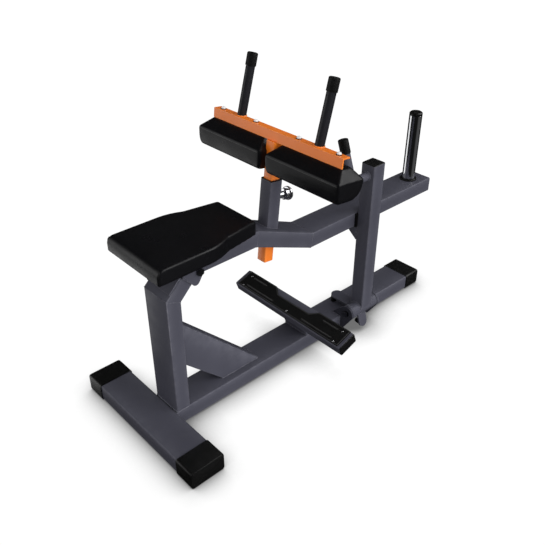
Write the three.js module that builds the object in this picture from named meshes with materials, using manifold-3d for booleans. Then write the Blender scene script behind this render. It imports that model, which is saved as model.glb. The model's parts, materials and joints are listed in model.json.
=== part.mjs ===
// A plate-loaded seated calf raise machine. Millimetres, +Z up, +X to the sitter's right,
// +Y from the seat to the weights.
import * as THREE from "three";
import { mergeVertices } from "three/addons/utils/BufferGeometryUtils.js";
import Module from "manifold-3d";

const wasm = await Module();
wasm.setup();

// Driving dimensions. Heights are over the underside of the floor tubes, and lengths start at the rear
// cross tube's axis.
const fit_gap = 0.3;
const running_gap = 0.6;
const half = 0.5;
const round_share = 0.45;
const both_sides = [-1, 1];

const floor_tube = { width: 120, height: 60, wall: 3, corner: 6 };
const cross_length = 600;
const beam_end_y = 1348.6;
const foot_cap = { length: 80, wall: 3, edge: 4 };

const post_tube = { width: 120.6, depth: 52.3, wall: 3, corner: 5, middle_y: 87, mitre_z: 491.3,
  head_length: 74 };
const head_angle = Math.PI / 4;
const brace_tube = { width: 60, depth: 118, wall: 3, corner: 5, foot_y: 357.5 };

const seat = { rear_y: -1.8, front_y: 385, taper_y: 217, bottom_z: 620.8, thickness: 55.5, crown: 4,
  edge: 14 };
const seat_half_widths = { rear: 134, taper: 133.3, front: 94 };
const seat_corners = { rear: 24, front: 19 };
const seat_taper_share = 0.25;
const seat_crown_shares = [0.3, 0.6];
const carrier = { width: 117, thickness: 6, edge: 1, start_y: 75.5, bend_y: 116, front_y: 262 };

const pivot = { y: 181, z: 564, bolt_radius: 8, head_radius: 13, head_length: 9, barrel_radius: 13,
  flange_radius: 19 };
const hanger = { thickness: 6, inner_x: 60.6, rear_y: 90, front_y: 237, tip_y: 167, tip_z: 534.5,
  tip_radius: 14.5 };

const lever = { width: 114, height: 56.5, wall: 3, corner: 5, rear_y: 158, rear_z: 574.8, knee_y: 422.5,
  dip_y: 672.5, dip_z: 472.3, end_y: 1346.7, end_plate: 3.5 };

const lean = THREE.MathUtils.degToRad(6);
const sleeve = { y: 517.3, z: 582, side: 50, wall: 3, corner: 4, top: 149.5 };
const liner = { flange: 3, depth: 48 };
const slider = { side: 38, wall: 3, corner: 3, bottom: -141, top: 277.2 };
const pin = { height: 84.5, radius: 5, hole_radius: 5.5, tip: 14, pitch: 25, holes_above: 1, holes_below: 5 };
const pin_housing = { radius: 11.5, length: 33 };
const knob = { start: 59.5, skirt: 8, rim: 15, length: 25, radius: 23.5, neck_radius: 12, lip: 2.5 };

const angle_bar = { length: 580, leg: 32, flange: 30, thickness: 4.5, front: -11.5, foot: 277.5 };
const pad_bolts = { xs: [-260, -97, 97, 260], y: 4.3, radius: 4, hole_radius: 4.4, depth: 15 };
const pad_bolt_head = { radius: 8.5, height: 5 };
const handle = { x: 175.4, y: 12, lean: THREE.MathUtils.degToRad(9), radius: 15, wall: 2.5, length: 195.5 };
const handle_tip = { radius: 17.5, length: 41, end_wall: 3, edge: 4 };

const thigh_pad = { inner_x: 19.4, outer_x: 321.5, rear: -53, depth: 114.5, height: 98.2, end_inset: 30,
  corner: 7 };
// Each level of a thigh pad: how far up it lies, its rear and front edges, and how far its ends draw in.
const pad_level_shares = [
  { up: 0, rear: 0.24, front: 0.5, inset: 0.53 },
  { up: 0.025, rear: 0.15, front: 0.61, inset: 0.3 },
  { up: 0.07, rear: 0.085, front: 0.725, inset: 0.15 },
  { up: 0.175, rear: 0.045, front: 0.85, inset: 0.05 },
  { up: 0.335, rear: 0.022, front: 0.943, inset: 0.01 },
  { up: 0.62, rear: 0.002, front: 0.997, inset: 0 },
  { up: 0.68, rear: 0.01, front: 0.988, inset: 0.03 },
  { up: 1, rear: 0.35, front: 0.733, inset: 1 },
];
const pad_corner_share = 0.3;

const horn = { y: 1278, radius: 25, wall: 3.5, top_z: 764.6, ring_radius: 33.5, ring_height: 5,
  cap_height: 12, plug: 15 };

const rest = { length: 560, width: 79, height: 40, wall: 3, corner: 4, y: 640.8, z: 158.9, cap: 3.5,
  plug: 12 };
const rest_tilt = THREE.MathUtils.degToRad(20);
const stub = { width: 120, depth: 50, wall: 3, corner: 5, offset: 11 };
const tread = { end_margin: 15, thickness: 4, rear: -36, front: 38, waist: 26, waist_x: 82,
  shoulder_x: 114, rib_height: 2.5, rib_width: 8 };
const rear_rib = { from: 75, to: 226, y: -22.6 };
const front_rib = { from: 148, to: 226, y: 18 };

const hinge = { x: 92, z: 90, tube_radius: 29, wall: 3, rear_y: 855, front_y: 996, bolt_radius: 8,
  bushing: 16 };
const lug = { thickness: 8, radius: 31, foot_x: 18, foot_low: 10, foot_out: 76, air: 1 };
const upright = { side: 58.4, wall: 3, corner: 4, rear_y: 901.5, inner_x: 62.3, foot: 8, top_z: 699 };
const shelf = { tip_x: 14, low_z: 390, tip_z: 428.6, wall: 5, contact_x: 57 };
const arm = { thickness: 8, far_width: 50, far_along: 61, far_x: -20, near_width: 41, near_along: 55 };
const near_arm = { top_x: 112, top_z: 80, low_x: 124, low_z: 40 };
const bumper = { radius: 12.5, far_x: -30, far_back: 10, near_radius: 10.5, near_face_x: 92,
  near_z: 30, bulge: 1.5 };
const grip_bar = { radius: 15.5, wall: 2.5, x: 91, drop: 41, run: 39.5, bend_radius: 45, length: 110 };
const grip_lean = { back: THREE.MathUtils.degToRad(5.3), inward: THREE.MathUtils.degToRad(15.1) };
const grip = { radius: 18, length: 48, end_wall: 3, edge: 3 };
const hex_sides = 6;

// Smoothness of round forms.
const round_sides = 28;
const corner_steps = 3;
const small_sides = 16;
const bend_steps = 7;
const arc_steps = 10;

// Materials.
const paint = (color, roughness, metalness) => new THREE.MeshStandardMaterial({ color, roughness, metalness });
const slate = paint(0x4a4a52, 0.45, 0.5);
const orange = paint(0xe4690f, 0.4, 0.4);
const chrome = paint(0xd8dadd, 0.12, 1);
const dark_steel = paint(0x2c2c30, 0.4, 0.8);
const black_plastic = paint(0x151517, 0.5, 0);
const rubber = paint(0x121214, 0.85, 0);
const vinyl = paint(0x18181b, 0.5, 0);

// Turns a closed geometry into a manifold solid.
function solid(geometry) {
  const plain = geometry.clone();
  plain.deleteAttribute("normal");
  plain.deleteAttribute("uv");
  const merged = mergeVertices(plain);
  const vertProperties = new Float32Array(merged.attributes.position.array);
  const triVerts = new Uint32Array(merged.index.array);
  return new wasm.Manifold(new wasm.Mesh({ numProp: 3, vertProperties, triVerts }));
}

function geometryOf(body) {
  const mesh = body.getMesh();
  const geometry = new THREE.BufferGeometry();
  geometry.setAttribute("position", new THREE.BufferAttribute(mesh.vertProperties, 3));
  geometry.setIndex(new THREE.BufferAttribute(mesh.triVerts, 1));
  return shaded(geometry);
}

function shaded(geometry) {
  const flat = geometry.toNonIndexed();
  flat.computeVertexNormals();
  return flat;
}

function cut(geometry, ...tools) {
  return geometryOf(tools.reduce((body, tool) => body.subtract(solid(tool)), solid(geometry)));
}

function joined(first, ...others) {
  return geometryOf(others.reduce((body, other) => body.add(solid(other)), solid(first)));
}

// Skins a row of equal rings. An open row is closed by a fan at each end; a looped row is a tube wall.
function skin(rings, looped = false) {
  const count = rings[0].length;
  const points = rings.flat();
  const faces = [];
  const rows = looped ? rings.length : rings.length - 1;
  for (let row = 0; row < rows; row++) {
    const here = row * count;
    const next = ((row + 1) % rings.length) * count;
    for (let i = 0; i < count; i++) {
      const j = (i + 1) % count;
      faces.push(here + i, here + j, next + j, here + i, next + j, next + i);
    }
  }
  if (!looped) {
    for (const [ring, flip] of [[0, true], [rings.length - 1, false]]) {
      const start = ring * count;
      points.push(middle(rings[ring]));
      for (let i = 0; i < count; i++) {
        const j = (i + 1) % count;
        faces.push(points.length - 1, start + (flip ? j : i), start + (flip ? i : j));
      }
    }
  }
  const geometry = new THREE.BufferGeometry().setFromPoints(points);
  geometry.setIndex(signedVolume(points, faces) < 0 ? faces.reverse() : faces);
  return shaded(geometry);
}

function middle(ring) {
  return ring.reduce((sum, point) => sum.add(point), new THREE.Vector3()).divideScalar(ring.length);
}

function signedVolume(points, faces) {
  let volume = 0;
  const normal = new THREE.Vector3();
  for (let i = 0; i < faces.length; i += 3) {
    const [a, b, c] = [0, 1, 2].map((corner) => points[faces[i + corner]]);
    volume += a.dot(normal.crossVectors(b, c));
  }
  return volume;
}

// A rounded rectangle as [across, up] pairs, centred on zero.
function roundedBox(width, height, radius, steps = corner_steps) {
  const quarter = Math.PI / 2;
  const corners = [[1, 1], [-1, 1], [-1, -1], [1, -1]];
  return corners.flatMap(([sx, sy], index) =>
    Array.from({ length: steps + 1 }, (_, step) => {
      const turn = quarter * (index + step / steps);
      const across = sx * (width * half - radius) + radius * Math.cos(turn);
      return [across, sy * (height * half - radius) + radius * Math.sin(turn)];
    }));
}

// Points of an arc from one angle to another, as [x, y] pairs.
function arc(x, y, radius, from, to, steps = bend_steps) {
  return Array.from({ length: steps + 1 }, (_, step) => {
    const turn = from + ((to - from) * step) / steps;
    return [x + radius * Math.cos(turn), y + radius * Math.sin(turn)];
  });
}

function circle(radius, sides = round_sides) {
  return Array.from({ length: sides }, (_, i) => {
    const turn = (2 * Math.PI * i) / sides;
    return [radius * Math.cos(turn), radius * Math.sin(turn)];
  });
}

// Rings of a section swept along a path of [y, z] points at one x. Each ring lies in its corner's mitre
// plane; cuts gives the direction of the first and last plane where they aren't square to the path.
function mitredRings(path, section, { x = 0, cuts = {} } = {}) {
  const points = path.map(([y, z]) => new THREE.Vector2(y, z));
  const directions = points.slice(1).map((point, i) => point.clone().sub(points[i]).normalize());
  const last = points.length - 1;
  return points.map((point, i) => {
    const along = directions[Math.min(i, last - 1)];
    const before = directions[Math.max(i - 1, 0)];
    const square = along.clone().add(before).normalize();
    const given = i === 0 ? cuts.start : i === last ? cuts.end : undefined;
    const line = given ? new THREE.Vector2(...given) : new THREE.Vector2(-square.y, square.x);
    const normal = new THREE.Vector2(-along.y, along.x);
    const stretch = 1 / line.dot(normal);
    return section.map(([across, up]) =>
      new THREE.Vector3(x + across, point.x + line.x * up * stretch, point.y + line.y * up * stretch));
  });
}

function hollowSweep(path, outer, inner, options) {
  return skin([...mitredRings(path, outer, options), ...mitredRings(path, inner, options).reverse()], true);
}

function boxTube(path, tube, height, options) {
  const outer = roundedBox(tube.width, height, tube.corner);
  const twice = 2 * tube.wall;
  const inner = roundedBox(tube.width - twice, height - twice, tube.corner - tube.wall * half);
  return hollowSweep(path, outer, inner, options);
}

// A row of sections at heights along local z.
function stack(levels) {
  return levels.map(([section, z]) => section.map(([x, y]) => new THREE.Vector3(x, y, z)));
}

// A plain slab of an outline in the (x, y) plane, from zero up.
function slab(shape, thickness) {
  return new THREE.ExtrudeGeometry(shape, { depth: thickness, bevelEnabled: false, curveSegments: arc_steps });
}

// An outline in the (y, z) plane, extruded along +x from a given x.
function plateAcross(shape, x, thickness) {
  const axes = [[0, 1, 0], [0, 0, 1], [1, 0, 0]].map((axis) => new THREE.Vector3(...axis));
  const turn = new THREE.Matrix4().makeBasis(...axes);
  return slab(shape, thickness).applyMatrix4(turn).translate(x, 0, 0);
}

// An outline in the (x, z) plane, extruded along +y from a given y.
function plateAlong(shape, y, thickness) {
  return slab(shape, thickness).rotateX(Math.PI / 2).translate(0, y + thickness, 0);
}

// A round bar between two distances on an axis: "x", "y" or "z".
function bar(axis, radius, from, to, sides = round_sides) {
  const geometry = new THREE.CylinderGeometry(radius, radius, to - from, sides);
  if (axis === "x") geometry.rotateZ(-Math.PI / 2);
  if (axis === "z") geometry.rotateX(Math.PI / 2);
  const shift = { x: 0, y: 0, z: 0, [axis]: (from + to) * half };
  return geometry.translate(shift.x, shift.y, shift.z);
}

// A profile of [radius, height] pairs turned about z, from the bottom up.
function turned(profile, sides = round_sides) {
  const points = profile.map(([radius, height]) => new THREE.Vector2(radius, height));
  return new THREE.LatheGeometry(points, sides).rotateX(Math.PI / 2);
}

// A quarter of a dome as [radius, height] pairs, from its rim to its crown.
function dome(radius, rim, crown, steps = corner_steps) {
  return Array.from({ length: steps }, (_, i) => {
    const turn = ((i + 1) * Math.PI * half) / steps;
    return [i + 1 === steps ? 0 : radius * Math.cos(turn), rim + (crown - rim) * Math.sin(turn)];
  });
}

function polygon(points) {
  return new THREE.Shape(points.map(([x, y]) => new THREE.Vector2(x, y)));
}

// A round hole's outline, which has to turn the other way than the outline around it.
function roundHole(x, y, radius, clockwise) {
  return new THREE.Path().absarc(x, y, radius, 0, 2 * Math.PI, clockwise);
}

// The angle at which a line from a point touches a circle, on the given side.
function touch(circle_x, circle_y, radius, x, y, side) {
  const distance = Math.hypot(x - circle_x, y - circle_y);
  return Math.atan2(y - circle_y, x - circle_x) + side * Math.acos(radius / distance);
}

const machine = new THREE.Group();
const lever_group = new THREE.Group();
const carriage = new THREE.Group();
const pin_group = new THREE.Group();
const catch_group = new THREE.Group();
machine.add(lever_group, catch_group, carriage, pin_group);
for (const group of [carriage, pin_group]) {
  group.position.set(0, sleeve.y, sleeve.z);
  group.rotation.x = -lean;
}

function add(parent, name, geometry, material) {
  const mesh = new THREE.Mesh(geometry, material);
  mesh.name = name;
  parent.add(mesh);
  return mesh;
}

// A cup over a tube's end, along local z with its closed end up and its outer edge rounded.
function endCup(section, wall, length, edge) {
  const proud = wall + fit_gap;
  const eased = edge * (1 - Math.SQRT1_2);
  return skin(stack([[section(fit_gap), length - wall], [section(fit_gap), 0], [section(proud), 0],
    [section(proud), length - edge], [section(proud - eased), length - eased],
    [section(proud - edge), length]]));
}

function roundCup(radius, cup) {
  return endCup((grow) => circle(radius + grow), cup.radius - radius - fit_gap, cup.length, cup.edge);
}

const floor_section = (grow) =>
  roundedBox(floor_tube.width + 2 * grow, floor_tube.height + 2 * grow, floor_tube.corner + grow);
const tube_middle_z = floor_tube.height * half;

function floorCap() {
  return endCup(floor_section, foot_cap.wall, foot_cap.length, foot_cap.edge);
}

// Floor frame.
const cross_tube_half = cross_length * half - foot_cap.wall - fit_gap;
const cross_tube = boxTube([[-cross_tube_half, 0], [cross_tube_half, 0]], floor_tube, floor_tube.height);
add(machine, "rear_cross_tube", cross_tube.rotateZ(-Math.PI / 2).translate(0, 0, tube_middle_z), slate);
for (const side of both_sides) {
  const cap = floorCap().rotateZ(Math.PI / 2).rotateY((side * Math.PI) / 2);
  cap.translate(side * (cross_length * half - foot_cap.length), 0, tube_middle_z);
  add(machine, side < 0 ? "cross_cap_left" : "cross_cap_right", cap, black_plastic);
}
const beam_start_y = floor_tube.width * half + fit_gap;
const beam_path = [[beam_start_y, tube_middle_z], [beam_end_y - foot_cap.wall - fit_gap, tube_middle_z]];
add(machine, "base_beam", boxTube(beam_path, floor_tube, floor_tube.height), slate);
const beam_cap = floorCap().rotateX(-Math.PI / 2).translate(0, beam_end_y - foot_cap.length, tube_middle_z);
add(machine, "base_beam_cap", beam_cap, black_plastic);

// Seat post with its mitred head, and the brace.
const beam_top_z = floor_tube.height + fit_gap;
const head_end = [post_tube.middle_y + post_tube.head_length * Math.sin(head_angle),
  post_tube.mitre_z + post_tube.head_length * Math.cos(head_angle)];
const post_path = [[post_tube.middle_y, beam_top_z], [post_tube.middle_y, post_tube.mitre_z], head_end];
add(machine, "seat_post", boxTube(post_path, post_tube, post_tube.depth), slate);

const post_front_y = post_tube.middle_y + post_tube.depth * half + fit_gap;
const brace_top_z = beam_top_z + brace_tube.foot_y - post_front_y;
const brace_path = [[post_front_y, brace_top_z], [brace_tube.foot_y, beam_top_z]];
const brace_cuts = { start: [0, 1], end: [1, 0] };
add(machine, "post_brace", boxTube(brace_path, brace_tube, brace_tube.depth, { cuts: brace_cuts }), slate);

// Seat: pad, carrier strip and the two hanger plates that also carry the pivot.
function seatOutline(inset, corner_inset) {
  const { rear, taper, front } = seat_half_widths;
  const rear_y = seat.rear_y + inset;
  const front_y = seat.front_y - inset;
  const [rear_r, front_r] = [seat_corners.rear - corner_inset, seat_corners.front - corner_inset];
  const ease = (seat.front_y - seat.taper_y) * seat_taper_share;
  const bend = new THREE.QuadraticBezierCurve(new THREE.Vector2(taper - inset, seat.taper_y - ease),
    new THREE.Vector2(taper - inset, seat.taper_y),
    new THREE.Vector2(taper - inset - ease * half, seat.taper_y + ease));
  const right = [[0, rear_y],
    ...arc(rear - inset - rear_r, rear_y + rear_r, rear_r, -Math.PI / 2, 0),
    ...bend.getPoints(corner_steps).map((point) => point.toArray()),
    ...arc(front - inset - front_r, front_y - front_r, front_r, 0, Math.PI / 2),
    [0, front_y]];
  const left = right.slice(1, -1).reverse().map(([x, y]) => [-x, y]);
  return [...right, ...left];
}
const seat_top_z = seat.bottom_z + seat.thickness;
const rolled = (turn) => [seat.edge * (1 - Math.cos(turn)), seat.edge * (1 - Math.sin(turn))];
const seat_levels = [[seatOutline(seat.edge * half, 0), seat.bottom_z],
  [seatOutline(fit_gap, 0), seat.bottom_z + seat.edge * half]];
for (const turn of [0, Math.PI / 6, Math.PI / 3, Math.PI / 2]) {
  const [inset, drop] = rolled(turn);
  seat_levels.push([seatOutline(inset, inset * half), seat_top_z - drop - seat.crown]);
}
for (const share of seat_crown_shares) {
  const inset = seat.edge + share * seat_half_widths.front;
  seat_levels.push([seatOutline(inset, seat.edge * half), seat_top_z - seat.crown * (1 - share) ** 2]);
}
add(machine, "seat_pad", skin(stack(seat_levels)), vinyl);

const hanger_top_z = seat.bottom_z - fit_gap - running_gap;
const upper_face_line = post_tube.mitre_z - post_tube.middle_y
  + (post_tube.depth * half + fit_gap + carrier.thickness * half) / Math.sin(head_angle);
const strip_z = hanger_top_z - carrier.thickness * half;
const strip_path = [[carrier.start_y, carrier.start_y + upper_face_line],
  [carrier.bend_y, carrier.bend_y + upper_face_line], [carrier.bend_y, strip_z], [carrier.front_y, strip_z]];
const strip_section = roundedBox(carrier.width, carrier.thickness, carrier.edge, 1);
add(machine, "seat_carrier", skin(mitredRings(strip_path, strip_section)), slate);

for (const side of both_sides) {
  const outline = new THREE.Shape();
  const [start, end] = [[hanger.rear_y, 1], [hanger.front_y, -1]].map(([y, turn]) =>
    touch(hanger.tip_y, hanger.tip_z, hanger.tip_radius, y, hanger_top_z, turn));
  outline.moveTo(hanger.front_y, hanger_top_z);
  outline.lineTo(hanger.rear_y, hanger_top_z);
  outline.absarc(hanger.tip_y, hanger.tip_z, hanger.tip_radius, start, end, false);
  outline.closePath();
  outline.holes.push(roundHole(pivot.y, pivot.z, pivot.bolt_radius + fit_gap, true));
  const start_x = side < 0 ? -hanger.inner_x - hanger.thickness : hanger.inner_x;
  const name = side < 0 ? "pivot_hanger_left" : "pivot_hanger_right";
  add(machine, name, plateAcross(outline, start_x, hanger.thickness), slate);
}
const hanger_outer_x = hanger.inner_x + hanger.thickness + fit_gap;
const pivot_end_x = hanger_outer_x + pivot.head_length;
const pivot_head = bar("x", pivot.head_radius, hanger_outer_x, pivot_end_x, hex_sides);
const pivot_shank = bar("x", pivot.bolt_radius, -pivot_end_x - running_gap, hanger_outer_x + fit_gap);
add(machine, "pivot_bolt", joined(pivot_head, pivot_shank).translate(0, pivot.y, pivot.z), dark_steel);
const pivot_nut = cut(bar("x", pivot.head_radius, -pivot_end_x, -hanger_outer_x, hex_sides),
  bar("x", pivot.bolt_radius + fit_gap, -2 * pivot_end_x, 0));
add(machine, "pivot_nut", pivot_nut.translate(0, pivot.y, pivot.z), dark_steel);

// Foot rest, built level about its own centre and then tilted.
const rest_group = new THREE.Group();
rest_group.position.set(0, rest.y, rest.z);
rest_group.rotation.x = rest_tilt;
machine.add(rest_group);
const rest_tube_half = rest.length * half - rest.cap - fit_gap;
const rest_tube = boxTube([[-rest_tube_half, 0], [rest_tube_half, 0]], rest, rest.height);
add(rest_group, "foot_rest_bar", rest_tube.rotateZ(-Math.PI / 2), slate);
for (const side of both_sides) {
  const shrink = 2 * (rest.wall + fit_gap);
  const plug_section = roundedBox(rest.width - shrink, rest.height - shrink, rest.corner * half);
  const face_section = roundedBox(rest.width, rest.height, rest.corner);
  const lip_section = roundedBox(rest.width - rest.wall, rest.height - rest.wall, rest.corner);
  const cap = skin(stack([[plug_section, -rest.plug], [plug_section, 0], [face_section, 0],
    [face_section, rest.cap * half], [lip_section, rest.cap]]));
  cap.rotateZ(Math.PI / 2).rotateY((side * Math.PI) / 2).translate(side * (rest.length * half - rest.cap), 0, 0);
  add(rest_group, side < 0 ? "foot_rest_cap_left" : "foot_rest_cap_right", cap, black_plastic);
}
const tread_half = rest.length * half - tread.end_margin;
const tread_right = [[tread_half, tread.rear], [tread_half, tread.front], [tread.shoulder_x, tread.front],
  [tread.waist_x, tread.front - tread.waist]];
const tread_left = tread_right.map(([x, y]) => [-x, y]).reverse();
const tread_plate = slab(polygon([...tread_right, ...tread_left]), tread.thickness);
const ribs = [rear_rib, front_rib].flatMap(({ from, to, y }) => both_sides.map((side) => {
  const width = tread.rib_width;
  const rib_section = roundedBox(to - from, width, width * round_share);
  const crest_section = roundedBox(to - from - width * half, width * half, width * half * round_share);
  const rib = skin(stack([[rib_section, tread.thickness * half],
    [rib_section, tread.thickness + tread.rib_height * half],
    [crest_section, tread.thickness + tread.rib_height]]));
  return rib.translate((side * (from + to)) * half, y, 0);
}));
const ribbed_tread = joined(tread_plate, ...ribs).translate(0, 0, rest.height * half + fit_gap);
add(rest_group, "foot_rest_tread", ribbed_tread, rubber);

const [rest_sin, rest_cos] = [Math.sin(rest_tilt), Math.cos(rest_tilt)];
const under_y = rest.y + rest_sin * rest.height * half + rest_cos * stub.offset;
const under_z = rest.z - rest_cos * (rest.height * half + fit_gap) + rest_sin * stub.offset;
const stub_foot_y = under_y + (under_z - beam_top_z) * Math.tan(rest_tilt);
const stub_path = [[stub_foot_y, beam_top_z], [under_y, under_z]];
const stub_tube = boxTube(stub_path, stub, stub.depth, { cuts: { start: [1, 0] } });
add(machine, "foot_rest_stub", stub_tube, slate);

// Lever: three box tubes mitred at the knees, with the pivot barrel and its bushings.
const lever_path = [[lever.rear_y, lever.rear_z], [lever.knee_y, lever.rear_z], [lever.dip_y, lever.dip_z],
  [lever.end_y - lever.end_plate - fit_gap, lever.dip_z]];
const sleeve_hole_side = sleeve.side + 2 * fit_gap;
const sleeve_hole = new THREE.BoxGeometry(sleeve_hole_side, sleeve_hole_side, 2 * sleeve.top);
sleeve_hole.rotateX(-lean).translate(0, sleeve.y, sleeve.z);
const barrel_clear = bar("x", pivot.barrel_radius + fit_gap, -lever.width, lever.width);
const barrel_hole = barrel_clear.clone().translate(0, pivot.y, pivot.z);
const lever_points = lever_path.map(([y, z]) => new THREE.Vector2(y, z));
const lever_lines = lever_points.slice(1).map((point, i) => point.clone().sub(lever_points[i]).normalize());
const knee_planes = lever_lines.slice(1).map((line, i) => {
  const square = line.clone().add(lever_lines[i]).normalize();
  return [-square.y, square.x];
});
const lever_holes = { lever_rear: [barrel_hole], lever_slope: [sleeve_hole], lever_front: [] };
Object.entries(lever_holes).forEach(([name, holes], i) => {
  const weld_gap = lever_lines[i].clone().multiplyScalar(fit_gap * half);
  const from = lever_points[i].clone().add(i === 0 ? new THREE.Vector2() : weld_gap);
  const to = lever_points[i + 1].clone().sub(i === lever_lines.length - 1 ? new THREE.Vector2() : weld_gap);
  const cuts = { start: knee_planes[i - 1], end: knee_planes[i] };
  const tube = boxTube([from.toArray(), to.toArray()], lever, lever.height, { cuts });
  add(lever_group, name, holes.length ? cut(tube, ...holes) : tube, slate);
});
const barrel_end_x = hanger.inner_x - running_gap;
const barrel_bore = bar("x", pivot.bolt_radius + fit_gap, -lever.width, lever.width);
const barrel = cut(bar("x", pivot.barrel_radius, -barrel_end_x, barrel_end_x), barrel_bore);
add(lever_group, "lever_barrel", barrel.translate(0, pivot.y, pivot.z), dark_steel);
for (const side of both_sides) {
  const [near_x, far_x] = [lever.width * half + fit_gap, barrel_end_x];
  const ring = side < 0 ? [-far_x, -near_x] : [near_x, far_x];
  const flange = cut(bar("x", pivot.flange_radius, ...ring), barrel_clear).translate(0, pivot.y, pivot.z);
  add(lever_group, side < 0 ? "pivot_bushing_left" : "pivot_bushing_right", flange, black_plastic);
}
const end_section = roundedBox(lever.width, lever.height, lever.corner);
const end_path = [[lever.end_y - lever.end_plate, lever.dip_z], [lever.end_y, lever.dip_z]];
add(lever_group, "lever_end_plate", skin(mitredRings(end_path, end_section)), slate);

// Sleeve through the lever. Its foot is cut flush with the sloping underside.
const slope = new THREE.Vector2(lever.dip_y - lever.knee_y, lever.dip_z - lever.rear_z).normalize();
const sleeve_line = new THREE.Vector2(Math.sin(lean), Math.cos(lean));
const underside = new THREE.Vector2(slope.y, -slope.x).multiplyScalar(lever.height * half);
underside.add(new THREE.Vector2(lever.knee_y, lever.rear_z));
const to_underside = underside.clone().sub(new THREE.Vector2(sleeve.y, sleeve.z));
const sleeve_foot = to_underside.cross(slope) / sleeve_line.cross(slope);
const onSleeve = (distance) => [sleeve.y + distance * sleeve_line.x, sleeve.z + distance * sleeve_line.y];
const sleeve_path = [onSleeve(sleeve_foot), onSleeve(sleeve.top)];
const sleeve_box = { ...sleeve, width: sleeve.side };
const sleeve_tube = boxTube(sleeve_path, sleeve_box, sleeve.side, { cuts: { start: [-slope.x, -slope.y] } });
const pin_bore = bar("y", pin.hole_radius, 0, sleeve.side).translate(0, 0, pin.height);
pin_bore.rotateX(-lean).translate(0, sleeve.y, sleeve.z);
add(lever_group, "pad_sleeve", cut(sleeve_tube, pin_bore), slate);

const lever_fittings = new THREE.Group();
lever_fittings.position.copy(carriage.position);
lever_fittings.rotation.copy(carriage.rotation);
lever_group.add(lever_fittings);
const square = (side, radius) => roundedBox(side, side, radius);
const liner_outer = sleeve.side - 2 * (sleeve.wall + fit_gap);
const liner_bore = square(slider.side + 2 * fit_gap, slider.corner);
const liner_base = sleeve.top + fit_gap;
const liner_flange = square(sleeve.side, sleeve.corner);
const liner_skirt = square(liner_outer, slider.corner);
const liner_rings = stack([[liner_bore, liner_base + liner.flange], [liner_flange, liner_base + liner.flange],
  [liner_flange, liner_base], [liner_skirt, liner_base],
  [liner_skirt, liner_base - liner.depth], [liner_bore, liner_base - liner.depth]]);
add(lever_fittings, "sleeve_liner", skin(liner_rings, true), black_plastic);

const housing_start = sleeve.side * half + fit_gap;
const housing = cut(bar("y", pin_housing.radius, housing_start, housing_start + pin_housing.length),
  bar("y", pin.radius + fit_gap, 0, 2 * sleeve.side));
add(lever_fittings, "pin_housing", housing.translate(0, 0, pin.height), chrome);

// Weight horn.
const lever_top_z = lever.dip_z + lever.height * half + fit_gap;
const hornPath = (from, to) => stack([[circle(horn.radius), from], [circle(horn.radius), to],
  [circle(horn.radius - horn.wall), to], [circle(horn.radius - horn.wall), from]]);
add(lever_group, "weight_horn", skin(hornPath(lever_top_z, horn.top_z), true).translate(0, horn.y, 0), chrome);
const ring_bore = horn.radius + fit_gap;
const ring_edge = horn.ring_height * half;
const horn_ring = turned([[ring_bore, 0], [horn.ring_radius, 0], [horn.ring_radius, ring_edge],
  [horn.ring_radius - ring_edge, horn.ring_height], [ring_bore, horn.ring_height], [ring_bore, 0]]);
add(lever_group, "horn_ring", horn_ring.translate(0, horn.y, lever_top_z), rubber);
const plug_radius = horn.radius - horn.wall - fit_gap;
const horn_cap = turned([[0, -horn.plug], [plug_radius, -horn.plug], [plug_radius, fit_gap],
  [horn.radius, fit_gap], [horn.radius, horn.cap_height - foot_cap.edge],
  [horn.radius - foot_cap.edge, horn.cap_height], [0, horn.cap_height]]);
add(lever_group, "horn_cap", horn_cap.translate(0, horn.y, horn.top_z), black_plastic);

// Pad carriage, in the sleeve's own leaning frame.
const slider_outer = square(slider.side, slider.corner);
const slider_inner = square(slider.side - 2 * slider.wall, slider.corner * half);
const slider_body = skin(stack([[slider_inner, slider.top - slider.wall], [slider_inner, slider.bottom],
  [slider_outer, slider.bottom], [slider_outer, slider.top]]));
const pin_holes = [];
for (let step = -pin.holes_below; step <= pin.holes_above; step++) {
  const hole = bar("y", pin.hole_radius, 0, slider.side, small_sides);
  pin_holes.push(hole.translate(0, 0, pin.height + step * pin.pitch));
}
add(carriage, "pad_post", cut(slider_body, ...pin_holes), orange);

const angle_rear = angle_bar.front + angle_bar.flange;
const angle_top = angle_bar.foot + angle_bar.leg;
const angle_inner = angle_bar.front + angle_bar.thickness;
const angle_outline = polygon([[angle_bar.front, angle_bar.foot], [angle_inner, angle_bar.foot],
  [angle_inner, angle_top - angle_bar.thickness], [angle_rear, angle_top - angle_bar.thickness],
  [angle_rear, angle_top], [angle_bar.front, angle_top]]);
const bolt_holes = pad_bolts.xs.map((x) =>
  bar("z", pad_bolts.hole_radius, 0, 2 * angle_top, small_sides).translate(x, pad_bolts.y, 0));
const angle_body = plateAcross(angle_outline, -angle_bar.length * half, angle_bar.length);
add(carriage, "pad_angle", cut(angle_body, ...bolt_holes), orange);

pad_bolts.xs.forEach((x, index) => {
  const shank_end = angle_bar.foot - pad_bolts.depth;
  const head_start = angle_top + fit_gap;
  const head_shoulder = head_start + pad_bolt_head.height * half;
  const bolt = turned([[0, shank_end], [pad_bolts.radius, shank_end], [pad_bolts.radius, head_start],
    [pad_bolt_head.radius, head_start], [pad_bolt_head.radius, head_shoulder],
    ...dome(pad_bolt_head.radius, head_shoulder, head_start + pad_bolt_head.height)], small_sides);
  add(carriage, "pad_bolt_" + (index + 1), bolt.translate(x, pad_bolts.y, 0), chrome);
});

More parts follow.
